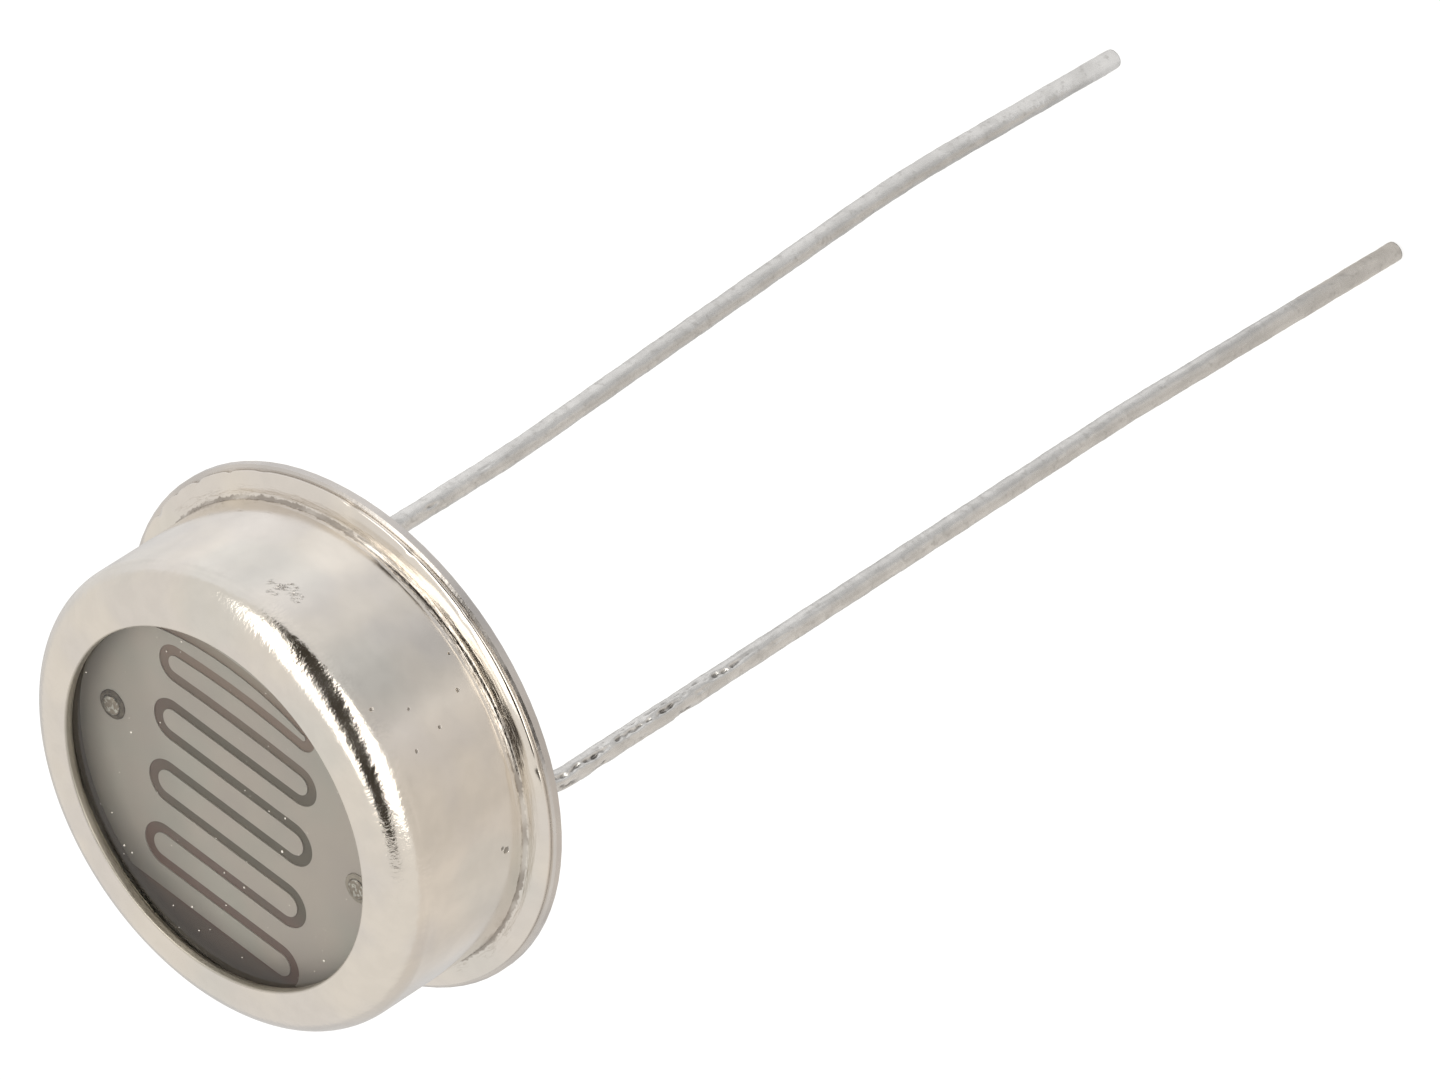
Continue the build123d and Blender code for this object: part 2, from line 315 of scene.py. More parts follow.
def place(tree):
    """The part's own coordinates, in metres."""
    return add_node(tree, "ShaderNodeTexCoord").outputs["Object"]


def surface(tree, output, **sockets):
    """One Principled shader. Socket names are written with _ for each space."""
    inputs = {name.replace("_", " "): value for name, value in sockets.items()}
    shader = add_node(tree, "ShaderNodeBsdfPrincipled", inputs)
    tree.links.new(shader.outputs[0], output.inputs["Surface"])


def dress(names, material):
    """Give CAD nodes a finish."""
    for name in names:
        nodes[name].data.materials.clear()
        nodes[name].data.materials.append(material)
    print(material.name, "on", ", ".join(names))


# %% [markdown]
# ## The can as one spun surface
# The can is drawn from sheet, so its section is one thin line: flange, root, wall, rolled front
# edge, front ring and lip, and then back along the inside. The CAD node has this shape already,
# but its facets would show in a mirror finish. A smoother copy could come from a subdivision of
# that node, but a section spun on a grid is simpler, and each point keeps its angle and its
# distance along the section. The finish needs both, because drawing marks follow them.

# %% Section of the can
CAN_RADIUS, SHEET = 6.8, 0.25
FRONT, FLANGE_TOP, HEADER_TOP = 5.15, 0.57, 0.32
WINDOW_RADIUS, RIM_RADIUS, CORNER = 5.27, 7.475, 0.06
EDGE_RADIUS, ROOT_RADIUS, FALL_DEGREES = 1.0, 0.15, 32
FALL = math.radians(FALL_DEGREES)


def arc(centre, radius, start, sweep, count):
    """Points on a circle: centre plus radius times (cosine, sine) of angles from start over sweep."""
    angle = np.radians(start + sweep * np.linspace(0, 1, count))
    return np.stack([centre[0] + radius * np.cos(angle), centre[1] + radius * np.sin(angle)], 1)


def line(first, last, count):
    """Points at equal steps from first to last."""
    return np.linspace(first, last, count)


def can_section():
    """The closed section in millimetres, from the rim's foot over the outside to the opening and
    back inside, as straight lines and arcs that meet end to end."""
    root = CAN_RADIUS + ROOT_RADIUS
    crown = (RIM_RADIUS - CORNER * (1 - math.sin(FALL)) - root) / math.sin(FALL)
    crown_edge = (root + crown * math.sin(FALL), FLANGE_TOP - crown * (1 - math.cos(FALL)))
    corner = (crown_edge[0] - CORNER * math.sin(FALL), crown_edge[1] - CORNER * math.cos(FALL))
    bend = (CAN_RADIUS - EDGE_RADIUS, FRONT - EDGE_RADIUS)
    lip = (WINDOW_RADIUS + CORNER, FRONT - CORNER)
    plate = FRONT - SHEET
    runs = [
        line((RIM_RADIUS, HEADER_TOP), (RIM_RADIUS, corner[1]), 3),
        arc(corner, CORNER, 0, 90 - FALL_DEGREES, 6),
        arc((root, FLANGE_TOP - crown), crown, 90 - FALL_DEGREES, FALL_DEGREES, 14),
        arc((root, FLANGE_TOP + ROOT_RADIUS), ROOT_RADIUS, 270, -90, 16),
        line((CAN_RADIUS, FLANGE_TOP + ROOT_RADIUS), (CAN_RADIUS, bend[1]), 40),
        arc(bend, EDGE_RADIUS, 0, 90, 40),
        line((bend[0], FRONT), (lip[0], FRONT), 6),
        arc(lip, CORNER, 90, 90, 6),
        line((WINDOW_RADIUS, lip[1]), (WINDOW_RADIUS, plate), 3),
        line((WINDOW_RADIUS, plate), (bend[0], plate), 4),
        arc(bend, EDGE_RADIUS - SHEET, 90, -90, 12),
        line((CAN_RADIUS - SHEET, bend[1]), (CAN_RADIUS - SHEET, FLANGE_TOP + ROOT_RADIUS), 6),
        arc((root, FLANGE_TOP + ROOT_RADIUS), ROOT_RADIUS + SHEET, 180, 90, 8),
        line((root, HEADER_TOP), (RIM_RADIUS, HEADER_TOP), 4),
    ]
    return np.concatenate([run[:-1] for run in runs])


section = can_section()
section_length = np.concatenate([[0], np.cumsum(np.linalg.norm(np.diff(section, axis=0), axis=1))])
WALL_AT = float(section_length[np.argmax(section[:, 0] < CAN_RADIUS + 0.001)])
EDGE_AT = float(section_length[np.argmax(section[:, 1] > FRONT - EDGE_RADIUS - 0.001)])
lip_points = (section[:, 1] > FRONT - 0.02) & (section[:, 0] < WINDOW_RADIUS + 0.05)
LIP_AT = float(section_length[np.argmax(lip_points)])
print("the can's section has", len(section), "points; along it the wall begins at", round(WALL_AT, 2),
      "mm, the front edge at", round(EDGE_AT, 2), "and the lip at", round(LIP_AT, 2))


# %% Spin the can
TURNS, FIRST_TURN = 420, -122.5         # faces round the can, and the angle away from the lens
DENTS_FROM, DENTS_OVER = 7.1, 0.37      # radius at which dents begin, and how soon they are whole
# Dents in the flange's rim: angle, width in degrees, and depth in millimetres.
FLANGE_DENTS = ((141.8, 1.3, 0.07), (131.0, 1.0, 0.05), (159.0, 1.6, 0.07), (171.0, 2.2, 0.04),
                (150.0, 1.0, 0.04), (121.0, 1.4, 0.03), (96.0, 1.2, 0.03), (79.0, 1.0, 0.025),
                (28.0, 1.6, 0.03), (62.0, 0.9, 0.02))


def grid_faces(rows, columns, wrap_rows=False, wrap_columns=False):
    """Four-cornered faces between neighbouring rows and columns of a grid of points."""
    row = np.arange(rows if wrap_rows else rows - 1)[:, None]
    column = np.arange(columns if wrap_columns else columns - 1)[None, :]
    here = row * columns + column
    right = row * columns + (column + 1) % columns
    above = ((row + 1) % rows) * columns + column
    beyond = ((row + 1) % rows) * columns + (column + 1) % columns
    return np.stack([here, right, beyond, above], -1).reshape(-1, 4)


def spun_can(section, turns):
    """Each section point (r, z) goes to (r cos a, r sin a, z) for angles a round the axis. The
    flange's rim is pushed in by a bell-shaped dent at a few angles, and its face sways a few
    hundredths of a millimetre."""
    angle = np.radians(np.arange(turns) * 360 / turns + FIRST_TURN)
    radius, height = (np.repeat(section[:, k, None], turns, 1) for k in (0, 1))
    on_flange = np.clip((radius - DENTS_FROM) / DENTS_OVER, 0, 1) ** 2
    for centre, width, depth in FLANGE_DENTS:
        away = (np.degrees(angle) - centre + 180) % 360 - 180
        dent = depth * np.exp(-((away / width) ** 2))
        radius = radius - dent * on_flange
        height = height - 0.4 * dent * on_flange * (height > HEADER_TOP + 0.01)
    sway = 0.010 * np.sin(5 * angle + 0.6) + 0.006 * np.sin(13 * angle) + 0.004 * np.sin(31 * angle + 1.0)
    height = height + sway * on_flange * (height > HEADER_TOP + 0.05)
    points = np.stack([radius * np.cos(angle), radius * np.sin(angle), height], -1) * MM
    return points.reshape(-1, 3)


can_points = spun_can(section, TURNS)
can_faces = grid_faces(len(section), TURNS, wrap_rows=True, wrap_columns=True)
can = mesh_piece("can_shell", can_points, can_faces)
along = np.repeat(section_length, TURNS).astype(np.float32)
can.data.attributes.new("along", "FLOAT", "POINT").data.foreach_set("value", along)
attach(can, "root")
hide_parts("cap")
print("can_shell:", len(can_faces), "faces, section", round(float(along.max()), 2), "mm long")

# %% [markdown]
# ## Nickel plating
# The plating is a bright, slightly warm mirror over drawn steel. Up close it is not even: the
# draw has left short strokes along the section, which fray the edges of every reflection, the
# root carries fine rings, soft patches are cooler or warmer, and a few nicks and pits catch the
# light. The marks could be cut into the mesh, but they are far smaller than its faces, so the
# finish makes them from noise. The strokes need coordinates that run round and along the can,
# so the direction from the axis is stretched one way and the distance along the section another.

# %% Nickel plating
def round_the_can(tree, round_scale, along_scale):
    """Coordinates that follow the can: its direction from the axis, and the distance along the section."""
    flat = vector_calc(tree, "MULTIPLY", place(tree), (1, 1, 0)).outputs[0]
    direction = add_node(tree, "ShaderNodeVectorMath", {0: flat}, operation="NORMALIZE").outputs[0]
    along = add_node(tree, "ShaderNodeAttribute", attribute_name="along").outputs["Fac"]
    lift = add_node(tree, "ShaderNodeCombineXYZ", {"Z": calc(tree, "MULTIPLY", along, along_scale)}).outputs[0]
    wide = vector_calc(tree, "MULTIPLY", direction, (round_scale,) * 3).outputs[0]
    return vector_calc(tree, "ADD", wide, lift).outputs[0], along


def near_points(tree, spots):
    """1 at each spot (x, y, z, radius) in millimetres, falling to 0 at its radius, with an outline
    that wanders by up to FRAY."""
    here = place(tree)
    inputs = {"Vector": here, "Scale": 9000.0, "Detail": 1.0}
    wander = add_node(tree, "ShaderNodeTexNoise", inputs).outputs["Color"]
    wander = vector_calc(tree, "SUBTRACT", wander, (0.5, 0.5, 0.5)).outputs[0]
    offset = vector_calc(tree, "MULTIPLY", wander, (FRAY * 2,) * 3).outputs[0]
    here = vector_calc(tree, "ADD", here, offset).outputs[0]
    total = 0.0
    for x, y, z, radius in spots:
        gap = vector_calc(tree, "DISTANCE", here, (x * MM, y * MM, z * MM)).outputs["Value"]
        total = calc(tree, "MAXIMUM", total, spread(tree, gap, radius * 0.35 * MM, radius * MM, 1.0, 0.0))
    return total


def on_wall(marks):
    """Marks (angle, height, size) on the side wall as (x, y, z, size), in millimetres."""
    angles = [math.radians(degrees) for degrees, _, _ in marks]
    return [(CAN_RADIUS * math.cos(angle), CAN_RADIUS * math.sin(angle), height, size)
            for angle, (_, height, size) in zip(angles, marks)]


FRAY = 0.00004
RUB = (0.74, -0.67)                     # direction of the scuffs on the wall, in x and z
# Pits and scuffs on the wall: angle, height and size.
PITS = ((50.4, 1.39, 0.07), (52.7, 3.04, 0.06), (45.7, 2.44, 0.06), (58.2, 1.02, 0.05), (44.0, 3.43, 0.07),
        (10.3, 1.29, 0.12), (11.4, 1.45, 0.07), (57.0, 4.05, 0.07))
SCUFFS = ((93.3, 3.56, 0.30), (90.4, 3.35, 0.34), (87.2, 3.46, 0.26), (92.0, 3.80, 0.22))


def nickel_plating():
    """Warm mirror metal with frayed strokes, rings at the root, patches, scuffs and pits."""
    material, tree, output = new_material("nickel_plate")
    here = place(tree)
    strokes_at, along = round_the_can(tree, 44.0, 4.2)
    strokes = noise(tree, strokes_at, 1.0, 3.0, 0.65)
    rings_at, _ = round_the_can(tree, 9.0, 12.0)
    rings = noise(tree, rings_at, 1.0, 3.0, 0.6)
    # A ragged dark line in the root's crease, just below the foot of the wall, is painted shade.
    wander = calc(tree, "SUBTRACT", noise(tree, here, 5200.0, 2.0, 0.6), 0.5)
    wander = calc(tree, "MULTIPLY", wander, 0.22)
    root_crease_shade = calc(tree, "SUBTRACT", calc(tree, "ADD", along, wander), WALL_AT - 0.07)
    root_crease_shade = spread(tree, calc(tree, "ABSOLUTE", root_crease_shade), 0.05, 0.10, 1.0, 0.0)
    root_crease_shade = calc(tree, "MULTIPLY", root_crease_shade, spread(tree, noise(tree, here, 600.0, 2.0), 0.36, 0.52, 0.35, 1.0))
    at_root = spread(tree, along, WALL_AT - 0.50, WALL_AT - 0.30)
    at_root = calc(tree, "MULTIPLY", at_root, spread(tree, along, WALL_AT, WALL_AT + 0.15, 1.0, 0.0))
    on_flange = spread(tree, along, WALL_AT - 0.15, WALL_AT - 0.02, 1.0, 0.0)
    ridge = calc(tree, "ABSOLUTE", calc(tree, "SUBTRACT", rings, 0.5))
    cracks = calc(tree, "MULTIPLY", spread(tree, ridge, 0.012, 0.035, 1.0, 0.0),
                  spread(tree, noise(tree, here, 800.0, 1.0), 0.45, 0.55))
    cracks = calc(tree, "MULTIPLY", cracks, at_root)
    at_lip = spread(tree, along, LIP_AT - 0.03, LIP_AT + 0.03)
    pits = near_points(tree, on_wall(PITS))
    with_rub = vector_calc(tree, "DOT_PRODUCT", here, (RUB[0] * 3000, 0, RUB[1] * 3000))
    across_rub = vector_calc(tree, "DOT_PRODUCT", here, (-RUB[1] * 11000, 0, RUB[0] * 11000))
    inputs = {0: with_rub.outputs["Value"], 1: across_rub.outputs["Value"]}
    rubbed = noise(tree, add_node(tree, "ShaderNodeCombineXYZ", inputs).outputs[0], 1.0, 3.0, 0.6)
    scuffs = near_points(tree, on_wall(SCUFFS))
    scuffs = calc(tree, "MULTIPLY", scuffs, spread(tree, rubbed, 0.50, 0.72, 0.0, 0.60))
    marks = calc(tree, "MAXIMUM", pits, scuffs)
    patches = noise(tree, here, 420.0, 2.0)
    warm = mix(tree, spread(tree, patches, 0.38, 0.62), (0.825, 0.775, 0.705, 1), (0.775, 0.735, 0.690, 1))
    cool = spread(tree, noise(tree, here, 260.0, 1.0), 0.54, 0.70, 0.0, 0.55)
    colour = mix(tree, cool, warm, (0.72, 0.71, 0.67, 1))
    colour = scaled(tree, colour, spread(tree, noise(tree, here, 1900.0, 3.0), 0.35, 0.65, 0.985, 1.015))
    # Painted light: the flange is painted a little lighter, so that it mirrors brighter.
    colour = scaled(tree, colour, spread(tree, on_flange, 0.0, 1.0, 1.0, 1.02))
    colour = mix(tree, calc(tree, "MULTIPLY", cracks, 0.32), colour, (0.42, 0.37, 0.31, 1))
    # Painted shade: the dark line in the crease of the root.
    colour = mix(tree, calc(tree, "MULTIPLY", root_crease_shade, 0.72), colour, (0.27, 0.235, 0.20, 1))
    colour = mix(tree, calc(tree, "MULTIPLY", marks, 0.60), colour, (0.16, 0.135, 0.115, 1))
    colour = mix(tree, calc(tree, "MULTIPLY", at_lip, 0.55), colour, (0.26, 0.24, 0.18, 1))
    rough = spread(tree, noise(tree, here, 900.0, 3.0), 0.3, 0.75, 0.10, 0.22)
    rough = calc(tree, "ADD", rough, calc(tree, "MULTIPLY", calc(tree, "MAXIMUM", at_lip, marks), 0.25))
    on_edge = calc(tree, "MULTIPLY", spread(tree, along, EDGE_AT - 0.5, EDGE_AT + 0.3),
                   spread(tree, along, EDGE_AT + 1.4, EDGE_AT + 1.9, 1.0, 0.0))
    depth = spread(tree, on_edge, 0.0, 1.0, 0.07, 1.0)
    normal = bump(tree, calc(tree, "MULTIPLY", strokes, depth), 0.000015)
    normal = bump(tree, calc(tree, "MULTIPLY", rings, at_root), 0.000022, normal)
    normal = bump(tree, calc(tree, "SUBTRACT", 1.0, marks), 0.00004, normal)
    surface(tree, output, Base_Color=colour, Metallic=1.0, Roughness=rough, Normal=normal)
    return material


can.data.materials.append(nickel_plating())

# %% [markdown]
# ## Header plating
# The header is a thicker disc of the same plating, a little greyer and duller, since nobody
# polishes the underside. It has no section to follow, so plain noise in the part's own
# coordinates is enough.

# %% Header plating
def header_plating():
    """Greyer, duller nickel with soft patches and fine grain."""
    material, tree, output = new_material("header_plate")
    here = place(tree)
    patches = noise(tree, here, 350.0, 3.0)
    colour = mix(tree, spread(tree, patches, 0.35, 0.65), (0.72, 0.685, 0.65, 1), (0.63, 0.605, 0.585, 1))
    rough = spread(tree, noise(tree, here, 1200.0, 3.0), 0.3, 0.7, 0.22, 0.38)
    grain = noise(tree, here, 7000.0, 2.0)
    surface(tree, output, Base_Color=colour, Metallic=1.0, Roughness=rough, Normal=bump(tree, grain, 0.000006))
    return material


dress(["header"], header_plating())

# %% [markdown]
# ## Tinned leads
# The leads are soft copper-cored wire with a dull tin coat. Handling has bent them a little, and
# pliers have bitten the near one just below the header. A curve with a round bevel could follow
# the bends, but the bites need a surface that can be pushed in. So a circle is carried along the
# same straights and arcs as the CAD wire, and each bite lowers the surface over a small oval.

# %% Course of the leads
LEAD_PLACE, LEAD_RADIUS, LEAD_TOP, ROOT_STRAIGHT = 4.43, 0.29, 4.40, 0.70
BEND_DIRECTION = math.radians(-32.5)
FINE_LENGTH, FINE_STEP, PLAIN_STEP = 14.0, 0.045, 0.16      # rings are closer where the bites are
# Place from the middle, reach below the seating face, and bends as (straight, radius, degrees).
LEADS = {
    "lead_left": (-LEAD_PLACE, 35.75, ((0, 40.0, 0.4), (8.8, 60.0, -2.5), (12.7, 60.0, 3.95))),
    "lead_right": (LEAD_PLACE, 36.50, ((0, 3.6, 21.8), (0, 3.6, -21.6), (21.3, 60.0, 1.5))),
}


def heading_steps(bends, reach):
    """Distances from the lead's top, and the heading in radians at each: level on straights, and
    an even change on arcs."""
    place_at, heading = [0.0, LEAD_TOP + ROOT_STRAIGHT], [0.0, 0.0]
    for straight, radius, degrees in bends:
        start = place_at[-1] + straight
        place_at += [start, start + radius * math.radians(abs(degrees))]
        heading += [heading[-1], heading[-1] + math.radians(degrees)]
    place_at.append(place_at[-1] + reach)
    heading.append(heading[-1])
    return np.array(place_at), np.array(heading)


def wire_course(x, reach, bends):
    """Points down the wire's middle and the heading there. The heading is summed up along the wire
    as (sine, minus cosine), in the upright plane of the bends, until the tip is reached."""
    place_at, heading = heading_steps(bends, reach)
    fine = np.arange(0, FINE_LENGTH, FINE_STEP)
    distance = np.concatenate([fine, np.arange(fine[-1] + PLAIN_STEP, place_at[-1], PLAIN_STEP)])
    angle = np.interp(distance, place_at, heading)
    step = np.diff(distance)
    middle = (angle[1:] + angle[:-1]) / 2
    shift = np.concatenate([[0], np.cumsum(np.sin(middle) * step)])
    height = LEAD_TOP - np.concatenate([[0], np.cumsum(np.cos(middle) * step)])
    keep = height > -reach
    last = (height[keep][-1] + reach) / math.cos(angle[keep][-1])
    distance = np.append(distance[keep], distance[keep][-1] + last)
    angle = np.append(angle[keep], angle[keep][-1])
    shift = np.append(shift[keep], shift[keep][-1] + last * math.sin(angle[-1]))
    height = np.append(height[keep], -reach)
    centre = np.stack([x + shift * math.cos(BEND_DIRECTION), shift * math.sin(BEND_DIRECTION), height], 1)
    return centre, angle, distance


# %% Shape of the leads
# Bites and nicks: distance below the seating face, place round the wire in degrees from the
# lens side, length, width, and depth, in millimetres. A negative depth is a burr.
BITES = {
    "lead_right": (
        (1.2, 35, 0.40, 0.18, 0.05), (1.7, 8, 0.50, 0.16, 0.08), (2.3, 30, 0.35, 0.14, 0.06),
        (2.9, 4, 1.00, 0.15, 0.09), (3.1, -68, 0.8, 0.30, 0.08), (3.6, 18, 0.40, 0.12, 0.07),
        (3.8, -70, 0.5, 0.25, -0.03), (4.1, 8, 1.60, 0.14, 0.10), (4.4, -75, 0.7, 0.30, 0.07),
        (4.6, 38, 0.45, 0.14, 0.06), (5.2, 24, 0.35, 0.12, 0.07), (5.6, 10, 1.20, 0.13, 0.09),
        (5.9, -55, 0.50, 0.15, 0.05), (6.2, 34, 0.50, 0.12, 0.06), (6.9, 10, 1.50, 0.14, 0.10),
        (6.3, 50, 2.20, 0.08, 0.06), (7.1, -72, 0.6, 0.35, -0.05), (7.6, -75, 0.8, 0.30, 0.08),
        (7.7, 24, 0.50, 0.12, 0.07), (8.3, -8, 0.70, 0.12, 0.06), (8.8, 30, 0.70, 0.11, 0.07),
        (8.0, 46, 2.40, 0.08, 0.06), (9.4, 12, 1.40, 0.14, 0.10), (10.3, 20, 0.6, 0.10, 0.04),
        (11.4, -10, 0.8, 0.09, 0.03), (13.0, 25, 0.9, 0.08, 0.02)),
    "lead_left": (
        (0.5, -20, 0.30, 0.12, 0.05), (0.9, 30, 0.45, 0.14, 0.05), (1.5, -30, 0.40, 0.12, 0.04),
        (2.6, 15, 0.7, 0.10, 0.03), (4.5, 5, 0.9, 0.10, 0.03), (5.3, 28, 0.6, 0.09, 0.03),
        (7.6, -10, 0.5, 0.12, 0.04), (9.8, 12, 0.7, 0.09, 0.03)),
}
AROUND, HIGHEST_BURR = 56, 0.014
END_RINGS = ((0.97, -0.012), (0.88, 0.0), (0.5, 0.006), (0.01, 0.008))      # share of the radius, and rise


def wire_surface(name, x, reach, bends):
    """A circle of the wire's radius, square to its course. Low waves make it lumpy, and each bite
    lowers it by its depth times a steep bell over an oval, made ragged by a sum of sine waves.
    The ends are closed by rings that shrink to the middle."""
    centre, heading, distance = wire_course(x, reach, bends)
    below = (distance - LEAD_TOP)[:, None]
    turn = np.arange(AROUND) * 2 * math.pi / AROUND
    across = np.array([math.cos(BEND_DIRECTION), math.sin(BEND_DIRECTION), 0.0])
    square = np.array([-math.sin(BEND_DIRECTION), math.cos(BEND_DIRECTION), 0.0])
    out = np.cos(heading)[:, None] * across + np.sin(heading)[:, None] * np.array([0, 0, 1.0])
    lens_side = math.atan2(TO_LENS.dot(Vector(square)), TO_LENS.dot(Vector(across)))
    low = np.zeros((len(distance), AROUND))
    phase = np.random.default_rng(5).uniform(0, 2 * math.pi, 5)
    ragged = sum(np.sin(a * below + n * turn + p)
                 for a, n, p in zip((4, 7, 11, 15, 21), (3, -5, 6, -8, 4), phase)) / 3
    for depth_at, degrees, length, width, depth in BITES[name]:
        round_gap = (turn - lens_side - math.radians(degrees) + math.pi) % (2 * math.pi) - math.pi
        oval = ((below - depth_at) / length * 2) ** 2 + (round_gap * LEAD_RADIUS / width * 2) ** 2
        bell = np.exp(-(oval ** 1.5)) * np.clip(0.85 + 0.5 * ragged, 0.15, 1.4)
        low += depth * (bell - 0.22 * np.exp(-oval / 3.5))
    lumps = (0.004 * np.sin(3.1 * below + 2 * turn) + 0.003 * np.sin(7.7 * below - turn + 1.3)
             + 0.0025 * np.sin(17 * below + 3 * turn))
    radius = np.minimum(LEAD_RADIUS - low + lumps * (below > 0.05), LEAD_RADIUS + HIGHEST_BURR)
    radius[(distance < LEAD_TOP + 0.02)] = LEAD_RADIUS
    ring = np.cos(turn)[:, None] * out[:, None] + np.sin(turn)[:, None] * square
    points = centre[:, None] + radius[..., None] * ring
    ends = []
    for end, sign in ((0, 1.0), (-1, -1.0)):
        axis = sign * (np.array([0, 0, math.cos(heading[end])]) - math.sin(heading[end]) * across)
        ends.append(np.stack([centre[end] + (points[end] - centre[end]) * shrink + axis * rise
                              for shrink, rise in END_RINGS]))
    grid = np.concatenate([ends[0][::-1], points[1:-1], ends[1]])
    plain = np.zeros((len(END_RINGS), AROUND))
    bitten = np.concatenate([plain, np.clip(low[1:-1], 0, None), plain])
    return grid * MM, bitten


wires = []
for name, (x, reach, bends) in LEADS.items():
    grid, bitten = wire_surface(name, x, reach, bends)
    faces = grid_faces(len(grid), AROUND, wrap_columns=True)
    wire = mesh_piece(name.replace("lead", "wire"), grid.reshape(-1, 3), faces[:, ::-1])
    attribute = wire.data.attributes.new("bitten", "FLOAT", "POINT")
    attribute.data.foreach_set("value", bitten.ravel().astype(np.float32))
    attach(wire, "root")
    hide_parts(name)
    wires.append(wire)
    print(wire.name, len(faces), "faces")


# %% Tin coat
def tin_coat():
    """Dull grey metal: fine mottling, streaks along the wire, painted shade in the bites, and cement on the
    inner tip."""
    material, tree, output = new_material("tinned_wire")
    here = place(tree)
    stretched = vector_calc(tree, "MULTIPLY", here, (6500, 6500, 1500)).outputs[0]
    streaks = noise(tree, stretched, 1.0, 3.0, 0.65)
    mottle = noise(tree, here, 4200.0, 3.0, 0.65)
    clouds = noise(tree, here, 1100.0, 2.0)
    colour = mix(tree, spread(tree, clouds, 0.38, 0.62), (0.81, 0.805, 0.79, 1), (0.72, 0.715, 0.70, 1))
    colour = mix(tree, spread(tree, mottle, 0.52, 0.72, 0.0, 0.55), colour, (0.50, 0.49, 0.47, 1))
    colour = mix(tree, spread(tree, streaks, 0.55, 0.75, 0.0, 0.5), colour, (0.92, 0.91, 0.88, 1))
    # Painted shade in the bites: the deeper a bite, the darker it is painted.
    bitten = add_node(tree, "ShaderNodeAttribute", attribute_name="bitten").outputs["Fac"]
    bite_shade = calc(tree, "MULTIPLY", spread(tree, bitten, 0.012, 0.055, 0.0, 0.8),
                 spread(tree, noise(tree, here, 6000.0, 2.0), 0.35, 0.6, 0.5, 1.0))
    colour = mix(tree, bite_shade, colour, (0.17, 0.16, 0.15, 1))
    height = add_node(tree, "ShaderNodeSeparateXYZ", {"Vector": here}).outputs["Z"]
    crust = calc(tree, "MULTIPLY", spread(tree, height, 0.0040, 0.0042),
                 spread(tree, noise(tree, here, 9000.0, 2.0), 0.50, 0.60, 1.0, 0.35))
    colour = mix(tree, crust, colour, (0.31, 0.265, 0.225, 1))
    rough = calc(tree, "ADD", spread(tree, mottle, 0.3, 0.7, 0.22, 0.36), calc(tree, "MULTIPLY", crust, 0.2))
    normal = bump(tree, mottle, 0.000020)
    normal = bump(tree, streaks, 0.000014, normal)
    surface(tree, output, Base_Color=colour, Metallic=1.0, Roughness=rough, Normal=normal)
    return material


tin = tin_coat()
for wire in wires:
    wire.data.materials.append(tin)

# %% [markdown]
# ## The cell behind the window
# The photoconductive film is nearly black-brown and a little glossy, so it looks lighter where
# it mirrors the tent and darkest below the rim. The two electrodes are a thin evaporated metal
# film: a soft grey sheen, not a paint. Making them metal with a broad gloss lets the rim's dark
# underside mirror in them, which gives the shaded crescent on the left without paint. Beside it,
# toward the left, a faint band of painted shade darkens them a little more.

# %% Films
def electrode_film():
    """Grey evaporated metal with very soft pink and green clouds, and a band of painted shade of the
    rim toward the left."""
    material, tree, output = new_material("electrode_metal")
    here = place(tree)
    clouds = noise(tree, here, 380.0, 2.0)
    elsewhere = vector_calc(tree, "ADD", here, (0.05, 0.02, 0)).outputs[0]
    tint = noise(tree, elsewhere, 520.0, 1.0)
    colour = mix(tree, spread(tree, clouds, 0.35, 0.65), (0.528, 0.478, 0.450, 1), (0.488, 0.467, 0.442, 1))
    colour = mix(tree, spread(tree, tint, 0.4, 0.7, 0.0, 0.6), colour, (0.49, 0.445, 0.43, 1))
    sideways, upward, _ = add_node(tree, "ShaderNodeSeparateXYZ", {"Vector": here}).outputs
    # Painted shade of the rim: a band toward the left is painted a tenth darker.
    slant = calc(tree, "ADD", calc(tree, "MULTIPLY", sideways, 0.8), calc(tree, "MULTIPLY", upward, 0.45))
    rim_shade = calc(tree, "MULTIPLY", spread(tree, slant, -0.0044, -0.0034),
                spread(tree, slant, -0.0028, -0.0014, 1.0, 0.0))
    colour = scaled(tree, colour, spread(tree, rim_shade, 0.0, 1.0, 1.0, 0.90))
    grain = noise(tree, here, 16000.0, 2.0)
    normal = bump(tree, grain, 0.0000025)
    surface(tree, output, Base_Color=colour, Metallic=0.85, Roughness=0.57, Normal=normal)
    return material


